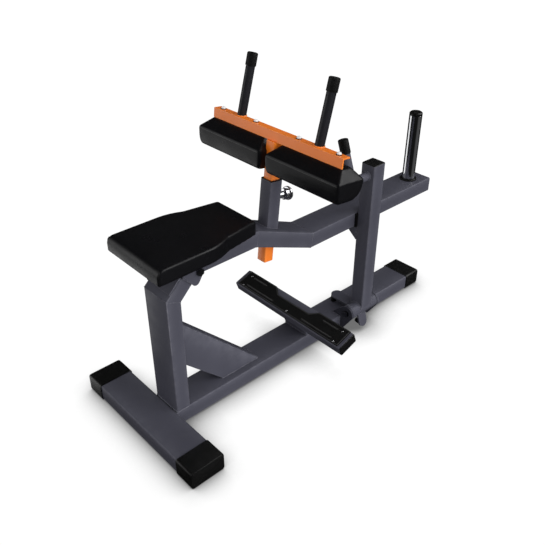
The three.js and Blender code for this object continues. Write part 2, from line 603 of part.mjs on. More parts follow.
const handlePoint = (distance) =>
  [handle.y + distance * Math.sin(handle.lean), angle_top + fit_gap + distance * Math.cos(handle.lean)];
for (const side of both_sides) {
  const path = [handlePoint(0), handlePoint(handle.length)];
  const options = { x: side * handle.x, cuts: { start: [-1, 0] } };
  const tube = hollowSweep(path, circle(handle.radius), circle(handle.radius - handle.wall), options);
  add(carriage, side < 0 ? "handle_left" : "handle_right", tube, slate);
  const tip = roundCup(handle.radius, handle_tip);
  const [y, z] = handlePoint(handle.length + handle_tip.end_wall - handle_tip.length);
  tip.rotateX(-handle.lean).translate(side * handle.x, y, z);
  add(carriage, side < 0 ? "handle_tip_left" : "handle_tip_right", tip, rubber);
}

// Thigh pads: blocks with a rounded underside, whose tops slope in all round to the angle bar.
const socket_end = angle_bar.foot - pad_bolts.depth - fit_gap;
function padRing(side, { up, rear, front, inset }) {
  const length = thigh_pad.outer_x - thigh_pad.inner_x - 2 * inset * thigh_pad.end_inset;
  const depth = (front - rear) * thigh_pad.depth;
  const middle_x = (thigh_pad.inner_x + thigh_pad.outer_x) * half;
  const middle_y = thigh_pad.rear + (rear + front) * half * thigh_pad.depth;
  const z = angle_bar.foot - fit_gap - (1 - up) * thigh_pad.height;
  return roundedBox(length, depth, Math.min(thigh_pad.corner, depth * pad_corner_share))
    .map(([x, y]) => new THREE.Vector3(side * (middle_x + x), middle_y + y, z));
}
for (const side of both_sides) {
  const body = skin(pad_level_shares.map((level) => padRing(side, level)));
  const sockets = pad_bolts.xs.filter((x) => x * side > 0).map((x) =>
    bar("z", pad_bolts.hole_radius, socket_end, angle_top, small_sides).translate(x, pad_bolts.y, 0));
  add(carriage, side < 0 ? "thigh_pad_left" : "thigh_pad_right", cut(body, ...sockets), vinyl);
}

// Pull pin: plunger and mushroom knob, turned in one profile along the sleeve's outward direction.
const knob_rim = knob.start + knob.rim;
const knob_profile = [[0, pin.tip], [pin.radius - fit_gap, pin.tip], [pin.radius, pin.tip + fit_gap],
  [pin.radius, knob.start], [knob.neck_radius, knob.start], [knob.neck_radius, knob.start + knob.skirt],
  [knob.radius - knob.lip, knob.start + knob.skirt], [knob.radius, knob.start + knob.skirt + knob.lip],
  [knob.radius, knob_rim], ...dome(knob.radius, knob_rim, knob.start + knob.length)];
const plunger = turned(knob_profile).rotateX(-Math.PI / 2).translate(0, 0, pin.height);
add(pin_group, "pull_pin", plunger, chrome);

// Catch hinge on the floor beam.
const hinge_axis = (geometry) => geometry.translate(hinge.x, 0, hinge.z);
const lug_faces = [hinge.rear_y - lug.air - lug.thickness, hinge.front_y + lug.air];
const beam_side_x = floor_tube.width * half + fit_gap;
lug_faces.forEach((y, index) => {
  const outline = new THREE.Shape();
  const up = touch(hinge.x, hinge.z, lug.radius, lug.foot_x, beam_top_z, -1);
  const down = touch(hinge.x, hinge.z, lug.radius, lug.foot_out, lug.foot_low, 1);
  outline.moveTo(beam_side_x, beam_top_z);
  outline.lineTo(lug.foot_x, beam_top_z);
  outline.absarc(hinge.x, hinge.z, lug.radius, up, down, true);
  outline.lineTo(lug.foot_out, lug.foot_low);
  outline.lineTo(beam_side_x, lug.foot_low);
  outline.closePath();
  outline.holes.push(roundHole(hinge.x, hinge.z, hinge.bolt_radius + fit_gap, false));
  const name = index === 0 ? "catch_lug_rear" : "catch_lug_front";
  add(machine, name, plateAlong(outline, y, lug.thickness), slate);
});
const head_face_y = lug_faces[0] - fit_gap;
const nut_face_y = lug_faces[1] + lug.thickness + fit_gap;
const hinge_head = bar("y", pivot.head_radius, head_face_y - pivot.head_length, head_face_y, hex_sides);
const shank_end_y = nut_face_y + pivot.head_length + running_gap;
const hinge_shank = bar("y", hinge.bolt_radius, head_face_y - half, shank_end_y);
add(machine, "catch_hinge_bolt", hinge_axis(joined(hinge_head, hinge_shank)), dark_steel);
const hinge_nut = cut(bar("y", pivot.head_radius, nut_face_y, nut_face_y + pivot.head_length, hex_sides),
  bar("y", hinge.bolt_radius + fit_gap, 0, 2 * nut_face_y));
add(machine, "catch_hinge_nut", hinge_axis(hinge_nut), dark_steel);

// Swinging catch.
const hinge_tube = cut(bar("y", hinge.tube_radius, hinge.rear_y, hinge.front_y),
  bar("y", hinge.tube_radius - hinge.wall, 0, 2 * hinge.front_y));
add(catch_group, "catch_hinge_tube", hinge_axis(hinge_tube), slate);
const bushing_radius = hinge.tube_radius - hinge.wall - fit_gap;
const bushing_bore = bar("y", hinge.bolt_radius + fit_gap, 0, 2 * hinge.front_y);
const bushing_starts = { catch_bushing_rear: hinge.rear_y, catch_bushing_front: hinge.front_y - hinge.bushing };
for (const [name, from] of Object.entries(bushing_starts)) {
  const ring = cut(bar("y", bushing_radius, from, from + hinge.bushing), bushing_bore);
  add(catch_group, name, hinge_axis(ring), black_plastic);
}

const hinge_clear = hinge_axis(bar("y", hinge.tube_radius + fit_gap, 0, 2 * hinge.front_y));
const upright_x = upright.inner_x + upright.side * half;
const upright_y = upright.rear_y + upright.side * half;
const upright_outer = square(upright.side, upright.corner);
const upright_inner = square(upright.side - 2 * upright.wall, upright.corner * half);
const upright_foot_z = hinge.z + upright.foot;
const upright_tube = skin(stack([[upright_outer, upright_foot_z], [upright_outer, upright.top_z],
  [upright_inner, upright.top_z], [upright_inner, upright_foot_z]]), true);
add(catch_group, "catch_upright", cut(upright_tube.translate(upright_x, upright_y, 0), hinge_clear), slate);
const cap_plug = square(upright.side - 2 * (upright.wall + fit_gap), upright.corner * half);
const top_cap = skin(stack([[cap_plug, -rest.plug], [cap_plug, fit_gap], [upright_outer, fit_gap],
  [upright_outer, upright.wall * half], [square(upright.side - upright.wall, upright.corner), upright.wall]]));
add(catch_group, "catch_top_cap", top_cap.translate(upright_x, upright_y, upright.top_z), black_plastic);

// The shelf's top follows an arc about the hinge, so it slides out from under the lever without lifting it.
const lever_under_z = lever.dip_z - lever.height * half - running_gap;
const shelf_radius = Math.hypot(shelf.contact_x - hinge.x, lever_under_z - hinge.z);
const shelf_right_x = upright.inner_x - fit_gap;
function shelfOutline(inset) {
  const radius = shelf_radius - inset;
  const [from_x, to_x] = [shelf.tip_x + inset, shelf_right_x];
  return Array.from({ length: bend_steps + 1 }, (_, i) => {
    const x = from_x + ((to_x - from_x) * i) / bend_steps;
    return [x, hinge.z + Math.sqrt(radius ** 2 - (x - hinge.x) ** 2)];
  });
}
const shelf_outer = polygon([[shelf.tip_x, shelf.tip_z], [shelf_right_x, shelf.low_z],
  ...shelfOutline(0).reverse()]);
const pocket_drop = shelf.low_z - upright.side;
const pocket_right_x = shelf_right_x + shelf.wall;
const shelf_inner = polygon([[shelf.tip_x + shelf.wall, pocket_drop], [pocket_right_x, pocket_drop],
  [pocket_right_x, shelf.low_z], ...shelfOutline(shelf.wall).reverse()]);
const shelf_body = plateAlong(shelf_outer, upright.rear_y, upright.side);
const shelf_pocket = plateAlong(shelf_inner, upright.rear_y + shelf.wall, upright.side - 2 * shelf.wall);
add(catch_group, "catch_shelf", cut(shelf_body, shelf_pocket), slate);

// Stop arms: flat bars with a round end, and their rubber bumpers.
const far_arm_y = hinge.rear_y + arm.far_along;
const near_arm_y = hinge.rear_y + arm.near_along;
function stopArm(length, width) {
  const outline = new THREE.Shape();
  outline.moveTo(0, -width * half);
  outline.lineTo(length, -width * half);
  outline.absarc(length, 0, width * half, -Math.PI / 2, Math.PI / 2, false);
  outline.lineTo(0, width * half);
  outline.closePath();
  return slab(outline, arm.thickness).translate(0, 0, -arm.thickness * half);
}
const far_bar = stopArm(hinge.x - arm.far_x, arm.far_width).rotateZ(Math.PI);
far_bar.translate(hinge.x, far_arm_y, hinge.z);
add(catch_group, "catch_far_arm", cut(far_bar, hinge_clear), slate);
const bumperProfile = (radius, length) =>
  turned([[0, 0], [radius - bumper.bulge, 0], [radius, length * half], [radius - bumper.bulge, length],
    [0, length]], small_sides);
const far_bumper_z = floor_tube.height + fit_gap;
const far_bumper = bumperProfile(bumper.radius, hinge.z - arm.thickness * half - far_bumper_z - fit_gap);
far_bumper.translate(bumper.far_x, far_arm_y - bumper.far_back, far_bumper_z);
add(catch_group, "catch_far_bumper", far_bumper, rubber);

const near_drop = near_arm.top_z - near_arm.low_z;
const near_out = near_arm.low_x - near_arm.top_x;
const near_reach = Math.hypot(near_drop, near_out);
const near_bar = stopArm(near_reach, arm.near_width).rotateY(Math.atan2(near_drop, near_out));
near_bar.translate(near_arm.top_x, near_arm_y, near_arm.top_z);
add(catch_group, "catch_near_arm", cut(near_bar, hinge_clear), slate);
const near_contact_z = bumper.near_z + bumper.near_radius;
const near_middle_x = near_arm.top_x + (near_out * (near_arm.top_z - near_contact_z)) / near_drop;
const near_half_x = (arm.thickness * half * near_reach) / near_drop;
const near_back_x = near_middle_x - near_half_x - running_gap;
const near_bumper = bumperProfile(bumper.near_radius, near_back_x - bumper.near_face_x);
near_bumper.rotateY(Math.PI / 2).translate(bumper.near_face_x, near_arm_y, bumper.near_z);
add(catch_group, "catch_near_bumper", near_bumper, rubber);

// Catch handle: a level bar from the upright that bends up into the grip, which also leans inwards.
const bend_turn = Math.PI / 2 - grip_lean.back;
const grip_bar_z = upright.top_z - grip_bar.drop;
const grip_bend_y = upright.rear_y - grip_bar.run;
const bend_points = Array.from({ length: bend_steps + 1 }, (_, i) => {
  const turn = (bend_turn * i) / bend_steps;
  const [back, rise] = [Math.sin(turn), 1 - Math.cos(turn)];
  return [grip_bend_y - grip_bar.bend_radius * back, grip_bar_z + grip_bar.bend_radius * rise];
});
const [bend_end_y, bend_end_z] = bend_points[bend_steps];
const gripPoint = (distance) =>
  [bend_end_y - distance * Math.sin(grip_lean.back), bend_end_z + distance * Math.cos(grip_lean.back)];
const leanInward = (geometry) =>
  geometry.translate(0, 0, -grip_bar_z).rotateY(-grip_lean.inward).translate(grip_bar.x, 0, grip_bar_z);
const grip_path = [[upright.rear_y - fit_gap, grip_bar_z], ...bend_points, gripPoint(grip_bar.length)];
const grip_bore = circle(grip_bar.radius - grip_bar.wall, small_sides);
const grip_tube = hollowSweep(grip_path, circle(grip_bar.radius, small_sides), grip_bore, { x: 0 });
add(catch_group, "catch_handle", leanInward(grip_tube), slate);
const [grip_y, grip_z] = gripPoint(grip_bar.length + grip.end_wall - grip.length);
const grip_sleeve = roundCup(grip_bar.radius, grip).rotateX(grip_lean.back).translate(0, grip_y, grip_z);
add(catch_group, "catch_grip", leanInward(grip_sleeve), rubber);

// The origin is the middle of the footprint, at floor height.
const cap_proud = foot_cap.wall + fit_gap;
machine.position.set(0, (floor_tube.width * half + cap_proud - beam_end_y) * half, cap_proud);

export default machine;
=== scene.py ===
"""Looks for a seated calf raise machine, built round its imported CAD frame. Metres, in the frame's axes."""

import json
import math

import bmesh
import bpy
from mathutils import Matrix, Vector

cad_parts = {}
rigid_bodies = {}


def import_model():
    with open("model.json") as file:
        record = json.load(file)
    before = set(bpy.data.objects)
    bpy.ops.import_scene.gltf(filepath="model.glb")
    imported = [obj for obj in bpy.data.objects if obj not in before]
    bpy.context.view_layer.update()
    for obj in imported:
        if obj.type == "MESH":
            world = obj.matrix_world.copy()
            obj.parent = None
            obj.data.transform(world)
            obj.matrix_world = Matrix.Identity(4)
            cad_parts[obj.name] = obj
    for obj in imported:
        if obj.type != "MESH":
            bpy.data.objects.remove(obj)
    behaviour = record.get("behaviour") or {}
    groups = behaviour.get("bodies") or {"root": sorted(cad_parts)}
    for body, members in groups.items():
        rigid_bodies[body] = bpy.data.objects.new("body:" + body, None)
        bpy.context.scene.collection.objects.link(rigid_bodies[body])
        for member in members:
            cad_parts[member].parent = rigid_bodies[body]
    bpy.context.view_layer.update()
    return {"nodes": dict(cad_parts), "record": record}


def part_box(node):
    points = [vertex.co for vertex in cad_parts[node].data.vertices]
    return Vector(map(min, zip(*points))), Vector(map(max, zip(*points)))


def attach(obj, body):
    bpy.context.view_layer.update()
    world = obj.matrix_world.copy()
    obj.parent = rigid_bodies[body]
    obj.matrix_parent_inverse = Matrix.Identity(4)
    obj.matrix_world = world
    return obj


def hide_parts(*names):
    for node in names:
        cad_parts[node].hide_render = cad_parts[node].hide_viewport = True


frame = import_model()
nodes = frame["nodes"]

MM = 0.001
X_AXIS = Vector((1, 0, 0))
Y_AXIS = Vector((0, 1, 0))
Z_AXIS = Vector((0, 0, 1))

# Camera, at the photograph's view.
CAMERA_PLACE = Vector((1.42809, -1.42211, 1.63957))
CAMERA_RIGHT = Vector((0.67667355, 0.73627739, 0.002917342))
CAMERA_DOWN = Vector((0.403212133, -0.3672498, -0.838181103))
CAMERA_FORWARD = Vector((-0.616062401, 0.56835129, -0.545384203))
FOCAL_SHARE = 663.194 / 545
SENSOR = 36.0
VIEW_DEPTH = 200.0

# Floor: it glows white, and less where something stands close over it, as a painted contact shadow.
FLOOR_HALF = 60.0
CONTACT_REACH = 0.15
OPEN_SHARES = (0.4, 0.95)
FLOOR_GLOW = (0.16, 1.03)

# Light: a dome that dims downwards, a broad key from the sitter's right, and for reflections a dim studio
# with lamps. A lamp is its direction, the angles at which it fades out and is full, and its strength.
BACKDROP = 1.2
DOME = (0.3, 0.59)
DOME_HEIGHTS = (-0.5, 0.3)
KEY_STRENGTH = 2.75
KEY_SPREAD = math.radians(90)
KEY_TOWARDS = (0.87, 0.1, 0.33)
STUDIO_DIM = 0.008
STUDIO_LAMPS = [
    ((0.52, 0.57, 0.59), 30, 8, 4.2),
    ((-0.66, -0.72, 0.16), 30, 8, 1.7),
    ((0.8, 0.45, -0.4), 40, 10, 0.07),
    ((-0.62, 0.57, 0.55), 50, 15, 0.03),
]
CARD_PLACE = (-2.65, -1.35, -0.9)
CARD_WIDTH = 1.8
CARD_HEIGHT = 1.9
CARD_POWER = 11.5

# Cushions: the seat's outline and edges, the seams' hold and the swelling between them.
SEAT_FRONT_SHARE = 94 / 134
SEAT_TAPER_SHARE = 0.565
SEAT_CORNER = 7 * MM
SEAT_ROLL = 10 * MM
SEAT_REAR_ROLL = 24 * MM
SEAT_CROWN = 4 * MM
SEAT_CROWN_SHARES = (0.15, 0.35, 0.6)
PAD_STRETCH = 1.024
VOXEL = 4 * MM
FLAT_TURN = 0.004
SEAM_TURN = 0.03
LEVEL = 0.98
PRESSURE = 4.0
SWELL_REACH = 3 * MM
SWELL_STEPS = 20
SETTLE_STEPS = 12

# Places of the CAD source, in millimetres and radians.
REAR_AXIS = 642.65
FOOT_UNDER = 3.3
SLEEVE_LEAN = math.radians(6)
REST_TILT = math.radians(20)
SLEEVE_FOOT = (517.3, 582)
REST_MIDDLE = (640.8, 158.9)
HINGE_X, HINGE_Z, HINGE_RADIUS = 92, 90, 29
HANDLE_X, HANDLE_Y, ANGLE_TOP = 175.4, 12, 310
PAD_REAR, PAD_FRONT, PAD_WIDEST_UP = -53.2, 61.4, 240.3
PAD_OUTER_X, PAD_LENGTH = 321.5, 302.1 * PAD_STRETCH
TREAD_TOP = 24.3

SMOOTH_ANGLE = math.radians(38)
BEAD_STEP = 1.6 * MM


def link(obj):
    bpy.context.scene.collection.objects.link(obj)
    return obj


def tone(red, green=None, blue=None):
    """A colour with full alpha; one number alone is a grey."""
    return (red, red if green is None else green, red if blue is None else blue, 1.0)


class Graph:
    """A node tree, with a short call for each kind of node."""

    def __init__(self, tree):
        self.tree = tree

    def node(self, kind, inputs=(), **props):
        made = self.tree.nodes.new(kind)
        for key, value in props.items():
            setattr(made, key, value)
        for key, value in dict(inputs).items():
            self.feed(made.inputs[key], value)
        return made

    def feed(self, socket, value):
        if isinstance(value, bpy.types.NodeSocket):
            self.tree.links.new(value, socket)
        else:
            socket.default_value = value

    def math(self, operation, left, right):
        return self.node("ShaderNodeMath", {0: left, 1: right}, operation=operation).outputs[0]

    def dot(self, left, right):
        made = self.node("ShaderNodeVectorMath", {0: left, 1: right}, operation="DOT_PRODUCT")
        return made.outputs["Value"]

    def span(self, value, low, high, to_low=0.0, to_high=1.0, easing="LINEAR"):
        """Turns one range of a value into another, and stops at its ends."""
        inputs = {"Value": value, "From Min": low, "From Max": high, "To Min": to_low, "To Max": to_high}
        return self.node("ShaderNodeMapRange", inputs, interpolation_type=easing).outputs[0]

    def mix(self, share, start, end):
        return self.node("ShaderNodeMix", {0: share, 2: start, 3: end}).outputs[0]

    def blend(self, share, start, end):
        """A colour between two others."""
        return self.node("ShaderNodeMix", {0: share, 6: start, 7: end}, data_type="RGBA").outputs[2]


class Shader(Graph):
    """One Principled material whose patterns use object coordinates, in metres."""

    def __init__(self, name, **settings):
        self.material = bpy.data.materials.new(name)
        self.material.use_nodes = True
        super().__init__(self.material.node_tree)
        self.surface = self.tree.nodes["Principled BSDF"]
        for key, value in settings.items():
            self.surface.inputs[key.replace("_", " ")].default_value = value
        self.coords = self.node("ShaderNodeTexCoord").outputs["Object"]

    def set(self, key, value):
        self.feed(self.surface.inputs[key], value)

    def noise(self, scale, detail=3.0, rough=0.5):
        inputs = {"Vector": self.coords, "Scale": scale, "Detail": detail, "Roughness": rough}
        return self.node("ShaderNodeTexNoise", inputs).outputs["Fac"]

    def patches(self, scale, low, high, detail=3.0):
        """Soft patches whose value runs from low to high."""
        return self.span(self.noise(scale, detail), 0.3, 0.7, low, high)

    def clouded(self, base, change, scale, detail=3.0):
        """A colour that drifts darker and lighter by a share of itself."""
        darker = tone(*[part * (1 - change) for part in base])
        lighter = tone(*[part * (1 + change) for part in base])
        return self.blend(self.patches(scale, 0.0, 1.0, detail), darker, lighter)

    def bump(self, height, strength, distance, normal=None):
        inputs = {"Height": height, "Strength": strength, "Distance": distance}
        if normal is not None:
            inputs["Normal"] = normal
        return self.node("ShaderNodeBump", inputs).outputs["Normal"]

    def rounded(self, radius):
        return self.node("ShaderNodeBevel", {"Radius": radius}, samples=6).outputs["Normal"]

    def edges(self, radius, reach):
        """1 on sharp edges, 0 on flat faces, from how far a rounded normal leans."""
        flat = self.node("ShaderNodeNewGeometry").outputs["True Normal"]
        return self.span(self.dot(self.rounded(radius), flat), 1.0, 1.0 - reach)


def paint(name, base, edge, rough, specular):
    """Powder coat: fine orange peel, slight clouding, and edges painted lighter, partly as wear and partly
    as a painted highlight.
    """
    shader = Shader(name)
    shader.set("Specular IOR Level", specular)
    # The edges blend towards the lighter edge tone, broken up by noise: partly wear, partly a painted
    # highlight.
    wear_and_highlight_breakup = shader.span(shader.noise(35.0), 0.35, 0.6, 0.45, 1.0)
    edge_wear_and_highlight = shader.math("MULTIPLY", shader.edges(1.1 * MM, 0.1), wear_and_highlight_breakup)
    body = shader.clouded(base, change=0.07, scale=6.0, detail=4.0)
    shader.set("Base Color", shader.blend(edge_wear_and_highlight, body, tone(*edge)))
    shader.set("Roughness", shader.patches(22.0, rough - 0.05, rough + 0.06))
    peel = shader.noise(620.0, detail=2.0)
    shader.set("Normal", shader.bump(peel, 0.16, 0.25 * MM, shader.rounded(1.3 * MM)))
    return shader.material


def moulded(name, base, rough, grain, specular=0.5):
    """Injection-moulded plastic or rubber with a fine spark-eroded grain, and edges painted lighter as a
    painted highlight.
    """
    shader = Shader(name)
    shader.set("Specular IOR Level", specular)
    body = shader.clouded((base, base, base), change=0.15, scale=9.0)
    # Edges are painted at a lighter tone: a painted highlight.
    shader.set("Base Color", shader.blend(shader.edges(2.0 * MM, 0.3), body, tone(base * 1.8)))
    shader.set("Roughness", shader.patches(40.0, rough - 0.06, rough + 0.06))
    pits = shader.noise(grain, rough=0.7)
    shader.set("Normal", shader.bump(pits, 0.25, 0.2 * MM, shader.rounded(1.5 * MM)))
    return shader.material


def upholstery(name, base, rough):
    """Gym vinyl: pebbled leather grain over soft foam, with painted shade in the grain's creases."""
    shader = Shader(name)
    shader.set("Specular IOR Level", 0.25)
    wander = shader.node("ShaderNodeTexNoise", {"Vector": shader.coords, "Scale": 160.0}).outputs["Color"]
    drift = shader.node("ShaderNodeVectorMath", {0: wander, 3: 1.6 * MM}, operation="SCALE").outputs[0]
    place = shader.node("ShaderNodeVectorMath", {0: shader.coords, 1: drift}, operation="ADD").outputs[0]
    inputs = {"Vector": place, "Scale": 560.0}
    pebbles = shader.node("ShaderNodeTexVoronoi", inputs, feature="DISTANCE_TO_EDGE")
    crease = shader.span(pebbles.outputs["Distance"], 0.0, 0.09)
    body = shader.clouded(base, change=0.15, scale=5.0, detail=4.0)
    # The grain's creases are painted at half the tone: painted shade in the creases.
    shader.set("Base Color", shader.blend(crease, tone(*[part * 0.5 for part in base]), body))
    shader.set("Roughness", shader.patches(14.0, rough - 0.05, rough + 0.07))
    soft = shader.bump(shader.noise(11.0, detail=2.0), 0.18, 4.0 * MM)
    shader.set("Normal", shader.bump(crease, 0.22, 0.25 * MM, soft))
    return shader.material


def metal(name, base, rough):
    """Bare or plated metal with fine machining marks."""
    shader = Shader(name, Metallic=1.0)
    marks = shader.noise(260.0, detail=4.0)
    shader.set("Base Color", shader.blend(marks, tone(*[part * 0.94 for part in base]), tone(*base)))
    shader.set("Roughness", shader.span(marks, 0.3, 0.7, rough, rough + 0.04))
    shader.set("Normal", shader.bump(marks, 0.04, 0.05 * MM, shader.rounded(0.7 * MM)))
    return shader.material


# The second colour of each coat is its lighter edge tone, partly wear and partly a painted highlight.
slate = paint("slate_powder_coat", (0.060, 0.060, 0.078), (0.26, 0.26, 0.3), 0.42, 0.12)
# A darker copy of the slate coat for the rear catch lug: painted shade.
slate_painted_shade = paint("shaded_powder_coat", (0.03, 0.03, 0.04), (0.2, 0.2, 0.24), 0.45, 0.1)
handle_paint = paint("handle_powder_coat", (0.012, 0.012, 0.015), (0.05, 0.05, 0.06), 0.4, 0.25)
orange = paint("orange_powder_coat", (0.9, 0.205, 0.012), (0.95, 0.45, 0.12), 0.34, 1.0)
zinc = paint("bright_zinc", (0.78, 0.79, 0.8), (0.9, 0.9, 0.9), 0.25, 0.8)
plastic = moulded("black_plastic", 0.0034, 0.42, 900.0, specular=0.4)
rubber = moulded("black_rubber", 0.004, 0.6, 500.0, specular=0.3)
# A lighter grey rubber for the tread's lip and the crests of its ribs.
worn_rubber = moulded("worn_rubber", 0.03, 0.5, 500.0, specular=0.3)
# Piping for the pads, painted lighter than the vinyl: a painted highlight along their ridges.
piping_painted_highlight = moulded("vinyl_welt", 0.03, 0.35, 500.0)
vinyl = upholstery("black_vinyl", (0.0046, 0.0046, 0.0056), 0.32)
chrome = metal("polished_chrome", (0.78, 0.79, 0.81), 0.07)
satin_chrome = metal("satin_chrome", (0.8, 0.8, 0.82), 0.24)
dark_steel = metal("blackened_steel", (0.09, 0.09, 0.1), 0.32)

FINISHES = {
    "frame_paint": slate,
    "orange_paint": orange,
    "black_plastic": plastic,
    "rubber": rubber,
    "vinyl": vinyl,
    "chrome": chrome,
    "dark_steel": dark_steel,
}
# The rear catch lug wears the darker slate copy as painted shade; the handles have their own dark coat.
OWN_FINISHES = {"handle_left": handle_paint, "handle_right": handle_paint, "catch_lug_rear": slate_painted_shade}


def smoothing_tree():
    """Smooth shading below a set angle, as a modifier, so that the CAD mesh itself stays as it is."""
    tree = bpy.data.node_groups.new("smooth_by_angle", "GeometryNodeTree")
    for side in ("INPUT", "OUTPUT"):
        tree.interface.new_socket("Geometry", in_out=side, socket_type="NodeSocketGeometry")
    graph = Graph(tree)
    start = graph.node("NodeGroupInput").outputs[0]
    inputs = {"Geometry": start, "Distance": 0.01 * MM}
    merged = graph.node("GeometryNodeMergeByDistance", inputs).outputs[0]
    faces = graph.node("GeometryNodeSetShadeSmooth", {"Geometry": merged}).outputs[0]
    angle = graph.node("GeometryNodeInputMeshEdgeAngle").outputs["Unsigned Angle"]
    gentle = graph.node("FunctionNodeCompare", {0: angle, 1: SMOOTH_ANGLE}, operation="LESS_THAN").outputs[0]
    inputs = {"Geometry": faces, "Shade Smooth": gentle}
    edges = graph.node("GeometryNodeSetShadeSmooth", inputs, domain="EDGE").outputs[0]
    graph.node("NodeGroupOutput", {0: edges})
    return tree


smooth_by_angle = smoothing_tree()
slots = {part["node"]: part["material_slot"] for part in frame["record"]["subparts"]}
for name, node in nodes.items():
    node.data.materials.clear()
    node.data.materials.append(OWN_FINISHES.get(name, FINISHES[slots[name]]))
    node.modifiers.new("smooth", "NODES").node_group = smooth_by_angle


def ring_mesh(name, rings):
    """A closed form over a row of equal rings of points, capped by the first and the last."""
    bm = bmesh.new()
    loops = [[bm.verts.new(place) for place in ring] for ring in rings]
    for lower, upper in zip(loops, loops[1:]):
        for index, corner in enumerate(lower):
            following = (index + 1) % len(lower)
            bm.faces.new((corner, lower[following], upper[following], upper[index]))
    bm.faces.new(reversed(loops[0]))
    bm.faces.new(loops[-1])
    mesh = bpy.data.meshes.new(name)
    bm.to_mesh(mesh)
    bm.free()
    return mesh


def arc_points(center_x, center_y, radius, start, end, steps):
    turns = [math.radians(start + (end - start) * step / steps) for step in range(steps + 1)]
    return [(center_x + radius * math.cos(turn), center_y + radius * math.sin(turn)) for turn in turns]


# Cushions: a tight cover that its seams hold and that swells a little between them.
def apply_modifier(obj, modifier):
    bpy.ops.object.select_all(action="DESELECT")
    obj.select_set(True)
    bpy.context.view_layer.objects.active = obj
    bpy.ops.object.modifier_apply(modifier=modifier.name)


def seat_outline(low, high, inset, rear_inset):
    """The seat from above: straight at the rear, drawn in towards the front, with tight corners."""
    half = high.x - inset
    front = (high.x * SEAT_FRONT_SHARE) - inset
    rear_y, front_y = low.y + rear_inset, high.y - inset
    corner = max(SEAT_CORNER - inset / 2, 2 * MM)
    taper_y = low.y + (high.y - low.y) * SEAT_TAPER_SHARE
    ease = (high.y - taper_y) / 4
    start = Vector((half, taper_y - ease))
    bend = Vector((half, taper_y))
    end = Vector((half - ease / 2, taper_y + ease))
    curve = []
    for step in range(7):
        share = step / 6
        curve.append(tuple(start * (1 - share) ** 2 + bend * 2 * share * (1 - share) + end * share ** 2))
    right = arc_points(half - corner, rear_y + corner, corner, -90, 0, 6) + curve
    right += arc_points(front - corner, front_y - corner, corner, 0, 90, 6)
    return right + [(-x, y) for x, y in reversed(right)]


def roll_inset(radius, drop):
    """How far a rolled edge lies inside its side, at a depth below the top."""
    if drop >= radius:
        return 0.0
    return radius - math.sqrt(radius ** 2 - (radius - drop) ** 2)


def seat_form():
    """Rings from the sharp lower edge up the side, over the rolled top edge and in to the crown."""
    low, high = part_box("seat_pad")
    rim_z = high.z - SEAT_CROWN
    drops = [SEAT_REAR_ROLL * (1 - math.sin(math.radians(turn))) for turn in range(0, 91, 10)]
    levels = [(0.0, 0.0, low.z)]
    for drop in drops:
        levels.append((roll_inset(SEAT_ROLL, drop), roll_inset(SEAT_REAR_ROLL, drop), rim_z - drop))
    for share in SEAT_CROWN_SHARES:
        inward = share * high.x * SEAT_FRONT_SHARE
        levels.append((SEAT_ROLL + inward, SEAT_REAR_ROLL + inward, high.z - SEAT_CROWN * (1 - share) ** 2))
    rings = []
    for inset, rear_inset, z in levels:
        rings.append([(x, y, z) for x, y in seat_outline(low, high, inset, rear_inset)])
    return ring_mesh("seat_form", rings)


def pad_form(side):
    """A thigh pad's solid, stretched a little towards the middle of the machine."""
    form = nodes["thigh_pad_" + side].data.copy()
    low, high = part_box("thigh_pad_" + side)
    outer = high.x if side == "right" else low.x
    for vertex in form.vertices:
        vertex.co.x = outer + (vertex.co.x - outer) * PAD_STRETCH
    return form


def hold_seams(obj):
    """Pins each point by how sharply the form turns there, so that edges and seams keep their line. Points
    on a level top stay free."""
    mesh = obj.data
    held = [0.0] * len(mesh.vertices)
    for edge in mesh.edges:
        start, end = edge.vertices
        turn = 1 - mesh.vertices[start].normal.dot(mesh.vertices[end].normal)
        pin = min(1.0, max(0.0, turn - FLAT_TURN) / SEAM_TURN)
        for index in (start, end):
            held[index] = max(held[index], pin)
    for vertex in mesh.vertices:
        if vertex.normal.z > LEVEL:
            held[vertex.index] = 0.0
    group = obj.vertex_groups.new(name="seams")
    for index, weight in enumerate(held):
        group.add([index], weight, "REPLACE")
    return held


def swell(obj):
    """Blows the cover up with Cloth, and keeps the part of each point's move that its seams allow. Then the
    free points settle between the seams."""
    held = hold_seams(obj)
    starts = [vertex.co.copy() for vertex in obj.data.vertices]
    cloth = obj.modifiers.new("cloth", "CLOTH")
    cloth.settings.quality = 5
    cloth.settings.mass = 0.4
    cloth.settings.tension_stiffness = 40
    cloth.settings.compression_stiffness = 40
    cloth.settings.shear_stiffness = 20
    cloth.settings.bending_stiffness = 2
    cloth.settings.vertex_group_mass = "seams"
    cloth.settings.use_pressure = True
    cloth.settings.uniform_pressure_force = PRESSURE
    cloth.settings.effector_weights.gravity = 0
    cloth.collision_settings.use_self_collision = False
    for step in range(1, SWELL_STEPS + 1):
        bpy.context.scene.frame_set(step)
    apply_modifier(obj, cloth)
    for vertex, place, weight in zip(obj.data.vertices, starts, held):
        move = vertex.co - place
        allowed = SWELL_REACH * (1 - weight)
        if move.length > allowed:
            vertex.co = place + move.normalized() * allowed
    settle = obj.modifiers.new("settle", "SMOOTH")
    settle.iterations = SETTLE_STEPS
    settle.vertex_group = "seams"
    settle.invert_vertex_group = True
    apply_modifier(obj, settle)


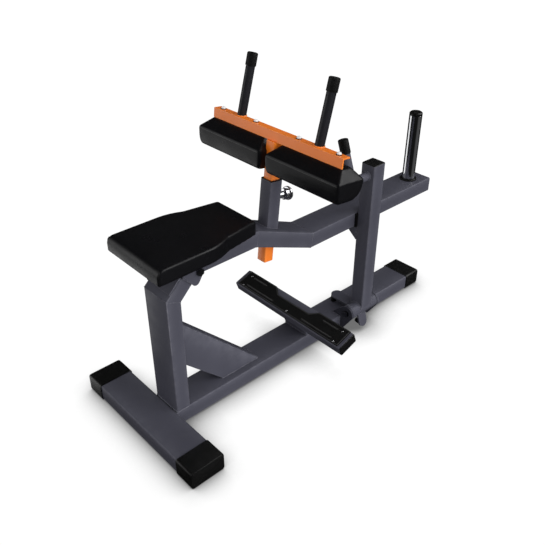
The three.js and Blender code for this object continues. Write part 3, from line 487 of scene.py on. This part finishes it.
def cushion(node_name, name, mesh):
    obj = link(bpy.data.objects.new(name, mesh))
    remesh = obj.modifiers.new("remesh", "REMESH")
    remesh.mode = "VOXEL"
    remesh.voxel_size = VOXEL
    apply_modifier(obj, remesh)
    swell(obj)
    relax = obj.modifiers.new("relax", "SMOOTH")
    relax.iterations = 1
    apply_modifier(obj, relax)
    for polygon in obj.data.polygons:
        polygon.use_smooth = True
    detail = obj.modifiers.new("detail", "SUBSURF")
    detail.levels = detail.render_levels = 1
    obj.data.materials.clear()
    obj.data.materials.append(vinyl)
    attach(obj, nodes[node_name].parent.name.removeprefix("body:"))
    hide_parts(node_name)


cushion("seat_pad", "seat_cushion", seat_form())
for side in ("left", "right"):
    cushion("thigh_pad_" + side, "thigh_cushion_" + side, pad_form(side))


# Details: weld beads, piping, fasteners, the knob and the foot rest's ribs. Their sizes are in millimetres.
def at(x, y, z):
    """A point of the CAD source, whose millimetres start at the rear tube's axis and underside."""
    return Vector((x, y - REAR_AXIS, z + FOOT_UNDER)) * MM


def on_sleeve(x, y, z):
    """A point in the leaning frame of the sleeve and the pad carriage."""
    cos, sin = math.cos(SLEEVE_LEAN), math.sin(SLEEVE_LEAN)
    return at(x, SLEEVE_FOOT[0] + y * cos + z * sin, SLEEVE_FOOT[1] - y * sin + z * cos)


def on_rest(x, y, z):
    """A point in the tilted frame of the foot rest."""
    cos, sin = math.cos(REST_TILT), math.sin(REST_TILT)
    return at(x, REST_MIDDLE[0] + y * cos - z * sin, REST_MIDDLE[1] + y * sin + z * cos)


def show(name, mesh, body, finish, replaces=None):
    obj = link(bpy.data.objects.new(name, mesh))
    mesh.materials.clear()
    mesh.materials.append(finish)
    obj.modifiers.new("smooth", "NODES").node_group = smooth_by_angle
    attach(obj, body)
    if replaces:
        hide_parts(replaces)


def resample(points, spacing):
    line = []
    for start, end in zip(points, points[1:]):
        steps = max(1, round((end - start).length / spacing))
        line += [start.lerp(end, step / steps) for step in range(steps)]
    return line + [points[-1]]


def bead(name, body, points, width, finish=slate):
    """A weld bead or a moulded lip along a line, with the slight waves of overlapping drops."""
    curve = bpy.data.curves.new(name, "CURVE")
    curve.dimensions = "3D"
    curve.bevel_depth = width * MM
    curve.bevel_resolution = 2
    line = resample(points, BEAD_STEP)
    spline = curve.splines.new("POLY")
    spline.points.add(len(line) - 1)
    for index, place in enumerate(line):
        spline.points[index].co = (*place, 1.0)
        spline.points[index].radius = 1.0 if index % 3 else 0.8
    rope = bpy.data.objects.new(name, curve)
    mesh = bpy.data.meshes.new_from_object(rope)
    bpy.data.objects.remove(rope)
    mesh.name = name
    show(name, mesh, body, finish)


def box_loop(half_x, half_v, corner):
    """A closed rounded rectangle as pairs of numbers."""
    loop = []
    for sign_x, sign_v, start in ((1, 1, 0), (-1, 1, 90), (-1, -1, 180), (1, -1, 270)):
        x, v = sign_x * (half_x - corner), sign_v * (half_v - corner)
        loop += arc_points(x, v, corner, start, start + 90, 4)
    return loop + loop[:1]


def joint(name, body, tube, plane_point, plane_normal, width):
    """A bead round a box tube where it meets a plane."""
    center, axis, section = tube
    across = axis.cross(X_AXIS)
    points = []
    for x, v in box_loop(*section):
        start = center + X_AXIS * x * MM + across * v * MM
        points.append(start + axis * ((plane_point - start).dot(plane_normal) / axis.dot(plane_normal)))
    bead(name, body, points, width)


def circle(radius, place):
    """A closed line of points; place turns two coordinates of the circle into a point."""
    return [place(x, y) for x, y in arc_points(0, 0, radius, 0, 360, 32)]


def lathe(name, profile, place, axis, sides=32):
    """A turned form from pairs of distance along the axis and radius."""
    across = axis.orthogonal().normalized()
    other = axis.cross(across)
    turns = [2 * math.pi * side / sides for side in range(sides)]
    spokes = [across * math.cos(turn) + other * math.sin(turn) for turn in turns]
    return ring_mesh(name, [[place + (axis * distance + spoke * radius) * MM for spoke in spokes]
                            for distance, radius in profile])


def plate(name, outline, from_x, to_x):
    """A flat plate across X from a list of points in Y and Z."""
    return ring_mesh(name, [[at(x, y, z) for y, z in outline] for x in (from_x, to_x)])


# Weld beads round the tubes' joints. A tube is a point on its axis, the axis and its section, which is
# half its width, half its height and its corner.
slope_line = Vector((0, 250, -102.5)).normalized()
slope_up = X_AXIS.cross(slope_line)
brace_line = Vector((0, 1, -1)).normalized()
head_line = Vector((0, 1, 1)).normalized()
mitre_normal = (head_line + Z_AXIS).normalized()
knee_normal = (slope_line + Y_AXIS).normalized()
rest_line = Vector((0, -math.sin(REST_TILT), math.cos(REST_TILT)))
sleeve_line = Vector((0, math.sin(SLEEVE_LEAN), math.cos(SLEEVE_LEAN)))
lever_section = (57, 28.25, 5)
post = (at(0, 87, 300), Z_AXIS, (60.3, 26.15, 5))
brace = (at(0, 357.5, 60.3), brace_line, (30, 59, 5))
stub = (at(0, 658, 143.6), rest_line, (60, 25, 5))
beam = (at(0, 400, 30), Y_AXIS, (60, 30, 6))
sleeve = (at(0, *SLEEVE_FOOT), sleeve_line, (25, 25, 4))
lever_rear = (at(0, 300, 574.8), Y_AXIS, lever_section)
lever_front = (at(0, 900, 472.3), Y_AXIS, lever_section)
beam_top = at(0, 0, 61)
slope_top = at(0, 422.5, 574.8) + slope_up * lever_section[1] * MM
JOINTS = [
    ("weld_post_foot", "frame", post, beam_top, Z_AXIS, 2.0),
    ("weld_post_mitre", "frame", post, at(0, 87, 491.3), mitre_normal, 1.0),
    ("weld_brace_foot", "frame", brace, beam_top, Z_AXIS, 2.0),
    ("weld_brace_top", "frame", brace, at(0, 114, 0), Y_AXIS, 2.0),
    ("weld_stub_foot", "frame", stub, beam_top, Z_AXIS, 2.0),
    ("weld_beam_rear", "frame", beam, at(0, 61, 0), Y_AXIS, 1.6),
    ("weld_sleeve_root", "lever", sleeve, slope_top, slope_up, 1.8),
    ("weld_lever_knee", "lever", lever_rear, at(0, 422.5, 574.8), knee_normal, 0.9),
    ("weld_lever_dip", "lever", lever_front, at(0, 672.5, 472.3), knee_normal, 0.9),
    ("seam_lever_end", "lever", lever_front, at(0, 1343, 472.3), Y_AXIS, 0.7),
]
for weld in JOINTS:
    joint(*weld)

# Beads of the safety catch, its hinge and the handles.
WELD_WIDTH = 1.8
RING_WIDTH = 0.9
HANDLE_WELD_RADIUS = 16
CATCH_HANDLE_X, UPRIGHT_REAR, CATCH_HANDLE_Z = 91, 901, 658
UPRIGHT_FRONT = 960.4
saddle = arc_points(HINGE_X, HINGE_Z, HINGE_RADIUS + 0.5, 10, 170, 24)
for name, y in (("weld_upright_rear", UPRIGHT_REAR), ("weld_upright_front", UPRIGHT_FRONT)):
    bead(name, "safety_catch", [at(x, y, z) for x, z in saddle], WELD_WIDTH)
bead("weld_far_arm", "safety_catch", [at(63, 891, 95), at(63, 941, 95)], WELD_WIDTH)
for y in (861, 867):
    ring = circle(HINGE_RADIUS, lambda x, z: at(HINGE_X + x, y, HINGE_Z + z))
    bead(f"hinge_ring_{y}", "safety_catch", ring, RING_WIDTH)
# Black rubber rings at the hinge tube's ends draw the shadowed gaps against the lugs: painted shade.
for name, y in (("rear", 854.6), ("front", 996.5)):
    ring = circle(HINGE_RADIUS - 0.6, lambda x, z: at(HINGE_X + x, y, HINGE_Z + z))
    bead("hinge_seal_" + name, "frame", ring, RING_WIDTH, rubber)
ring = circle(HANDLE_WELD_RADIUS, lambda x, z: at(CATCH_HANDLE_X + x, UPRIGHT_REAR, CATCH_HANDLE_Z + z))
bead("weld_catch_handle", "safety_catch", ring, WELD_WIDTH)
for name, y in (("rear", 845.6), ("front", 1005.4)):
    corner = [at(x, y, z) for x, z in ((19, 61), (60, 61), (61, 60), (61, 12))]
    bead("weld_lug_" + name, "frame", corner, 1.6)
for name, x in (("left", -HANDLE_X), ("right", HANDLE_X)):
    ring = circle(HANDLE_WELD_RADIUS, lambda u, v: on_sleeve(x + u, HANDLE_Y + v, ANGLE_TOP))
    bead("weld_handle_" + name, "pad_carriage", ring, WELD_WIDTH, orange)

# The hanger plates reach back to the post's mitred head.
HEEL = [(121.4, 562.3), (157.4, 526.4), (156, 531), (124, 575), (121.4, 575)]
for name, from_x, to_x in (("hanger_heel_left", -66.2, -61), ("hanger_heel_right", 61, 66.2)):
    show(name, plate(name, HEEL, from_x, to_x), "frame", slate)

# Piped seams of the cushions: round each pad at its widest level, and up the seat's rear corners. The pads'
# piping is painted lighter than the vinyl, a painted highlight along their ridges.
PAD_PIPING, SEAT_PIPING = 0.85, 1.0
PIPING_CORNER = 9
END_INSET, SIDE_INSET = 1.4, 1.2
SEAT_SEAM = [(131.6, 0.4, 623), (131.6, 0.4, 648), (131.6, 3.5, 660), (129.6, 8, 667)]
half_length, half_depth = PAD_LENGTH / 2 - END_INSET, (PAD_FRONT - PAD_REAR) / 2 - SIDE_INSET
for side, sign in (("left", -1), ("right", 1)):
    middle_x, middle_y = sign * (PAD_OUTER_X - PAD_LENGTH / 2), (PAD_FRONT + PAD_REAR) / 2
    widest = box_loop(half_length, half_depth, PIPING_CORNER)
    loop = [on_sleeve(middle_x + x, middle_y + y, PAD_WIDEST_UP) for x, y in widest]
    bead("pad_piping_" + side, "pad_carriage", loop, PAD_PIPING, piping_painted_highlight)
    seam = [at(sign * x, y, z) for x, y, z in SEAT_SEAM]
    bead("seat_piping_" + side, "frame", seam, SEAT_PIPING, plastic)

# A black rubber strip on the upright, beside the lever's side, draws the shadowed gap between them: painted
# shade.
GAP_SHADE_STRIP = [(893, 446), (901.3, 446), (901.3, 500), (893, 500)]
show("lever_guide", plate("lever_guide", GAP_SHADE_STRIP, 58.6, 66), "safety_catch", rubber)

# Knob of the pull pin, and the pad bolts with their washers, as pairs of distance and radius.
KNOB = [
    (14, 3.5), (15.5, 5), (58, 5), (58, 17), (59.5, 19), (70.5, 19), (71.5, 18), (71.5, 15), (74, 15),
    (74, 21), (75.5, 23), (77, 23.5), (81, 23.5), (83, 22.6), (84.3, 20.5), (84.8, 17), (84.9, 8),
]
SHANK = [(-52, 3.5), (-51, 4), (-0.2, 4)]
WASHER = [(0, 9.2), (1.4, 9.2), (1.6, 8.8)]
BOLT_HEAD = [(1.6, 7.4), (4.6, 7.4), (5.4, 6.7), (6.8, 5.4), (7.8, 3.8), (8.2, 1.8)]
BOLT_PLACES = (-260, -97, 97, 260)
pin_line = Vector((0, math.cos(SLEEVE_LEAN), -math.sin(SLEEVE_LEAN)))
knob = lathe("pull_knob", KNOB, on_sleeve(0, 0, 84.5), pin_line)
show("pull_knob", knob, "pull_pin", satin_chrome, "pull_pin")
for number, x in enumerate(BOLT_PLACES, start=1):
    seat_place = on_sleeve(x, 4.3, ANGLE_TOP - 0.2)
    name = f"bolt_head_{number}"
    head = lathe(name, BOLT_HEAD, seat_place, sleeve_line, 24)
    show(name, head, "pad_carriage", zinc, f"pad_bolt_{number}")
    name = f"bolt_washer_{number}"
    washer = lathe(name, SHANK + WASHER, seat_place, sleeve_line, 24)
    show(name, washer, "pad_carriage", dark_steel)

# Foot rest: a lip round the tread, lighter grey crests on its ribs, and its screws.
TREAD_RIGHT = [(262, -33), (262, 35), (115.5, 35), (83.5, 9)]
CRESTS = (("rear", 77, 224, -22.6), ("front", 150, 224, 18))
SCREW = [(0, 3.6), (0.8, 3.6), (1.6, 3.0), (2.2, 1.9), (2.4, 0.7)]
SCREW_PLACES = ((-240, -29), (-240, 21), (240, -29), (240, 21), (2, -27))
tread_line = TREAD_RIGHT + [(-x, y) for x, y in reversed(TREAD_RIGHT)]
lip = [on_rest(x, y, TREAD_TOP) for x, y in tread_line + tread_line[:1]]
bead("tread_lip", "frame", lip, 1.5, worn_rubber)
for side, sign in (("left", -1), ("right", 1)):
    for name, start, end, y in CRESTS:
        crest = [on_rest(sign * x, y, TREAD_TOP + 1.2) for x in (start, end)]
        bead(f"rib_crest_{name}_{side}", "frame", crest, 2.8, worn_rubber)
for number, (x, y) in enumerate(SCREW_PLACES, start=1):
    name = f"tread_screw_{number}"
    show(name, lathe(name, SCREW, on_rest(x, y, TREAD_TOP), rest_line, 16), "frame", satin_chrome)


# Floor, light and camera.
def turned_to(obj, direction):
    """Turns a light so that it shines from the given direction."""
    obj.rotation_mode = "QUATERNION"
    obj.rotation_quaternion = Vector(direction).to_track_quat("Z", "Y")


def make_floor():
    """A white floor that only the camera sees, darkened close to what stands on it as a painted contact
    shadow.
    """
    mesh = bpy.data.meshes.new("floor")
    corners = [(sx * FLOOR_HALF, sy * FLOOR_HALF, 0) for sx, sy in ((-1, -1), (1, -1), (1, 1), (-1, 1))]
    mesh.from_pydata(corners, [], [(0, 1, 2, 3)])
    floor = link(bpy.data.objects.new("floor", mesh))
    shader = Shader("pale_floor", Roughness=1.0)
    shader.set("Base Color", tone(0.0))
    shader.set("Specular IOR Level", 0.0)
    shader.set("Emission Color", tone(1.0))
    open_share = shader.node("ShaderNodeAmbientOcclusion", {"Distance": CONTACT_REACH}, samples=16)
    shader.set("Emission Strength", shader.span(open_share.outputs["AO"], *OPEN_SHARES, *FLOOR_GLOW))
    mesh.materials.append(shader.material)
    floor.visible_glossy = False
    floor.visible_diffuse = False
    floor.visible_shadow = False


def make_world():
    """A white backdrop for the camera, a dome for diffuse light, and a dim studio with soft lamps in the
    reflections."""
    world = bpy.data.worlds.new("studio")
    bpy.context.scene.world = world
    world.use_nodes = True
    world.cycles.sampling_method = "NONE"
    graph = Graph(world.node_tree)
    direction = graph.node("ShaderNodeTexCoord").outputs["Generated"]
    path = graph.node("ShaderNodeLightPath")
    reflected = STUDIO_DIM
    for towards, wide, bright, strength in STUDIO_LAMPS:
        aim = graph.dot(direction, Vector(towards).normalized())
        fades, full = math.cos(math.radians(wide)), math.cos(math.radians(bright))
        reflected = graph.math("ADD", reflected, graph.span(aim, fades, full, 0.0, strength, "SMOOTHSTEP"))
    height = graph.node("ShaderNodeSeparateXYZ", {0: direction}).outputs["Z"]
    dome = graph.span(height, *DOME_HEIGHTS, *DOME)
    light = graph.mix(path.outputs["Is Glossy Ray"], dome, reflected)
    background = world.node_tree.nodes["Background"]
    background.inputs["Color"].default_value = tone(1.0)
    graph.feed(background.inputs["Strength"], graph.mix(path.outputs["Is Camera Ray"], light, BACKDROP))


def make_sun():
    light = bpy.data.lights.new("key", "SUN")
    light.energy = KEY_STRENGTH
    light.angle = KEY_SPREAD
    sun = link(bpy.data.objects.new("key", light))
    sun.visible_glossy = False
    turned_to(sun, KEY_TOWARDS)


def make_card():
    """A large reflector low behind the machine's left, which only gloss picks up."""
    light = bpy.data.lights.new("card", "AREA")
    light.shape = "RECTANGLE"
    light.size = CARD_WIDTH
    light.size_y = CARD_HEIGHT
    light.energy = CARD_POWER
    card = link(bpy.data.objects.new("card", light))
    card.visible_diffuse = False
    card.location = CARD_PLACE
    turned_to(card, (CARD_PLACE[0], CARD_PLACE[1], 0))


def make_camera():
    data = bpy.data.cameras.new("camera")
    data.sensor_width = SENSOR
    data.lens = FOCAL_SHARE * SENSOR
    data.clip_end = VIEW_DEPTH
    camera = link(bpy.data.objects.new("camera", data))
    turn = Matrix((CAMERA_RIGHT, -CAMERA_DOWN, -CAMERA_FORWARD)).transposed()
    camera.matrix_world = Matrix.Translation(CAMERA_PLACE) @ turn.to_4x4()
    bpy.context.scene.camera = camera


make_floor()
make_world()
make_sun()
make_card()
make_camera()
bpy.context.scene.view_settings.view_transform = "Standard"
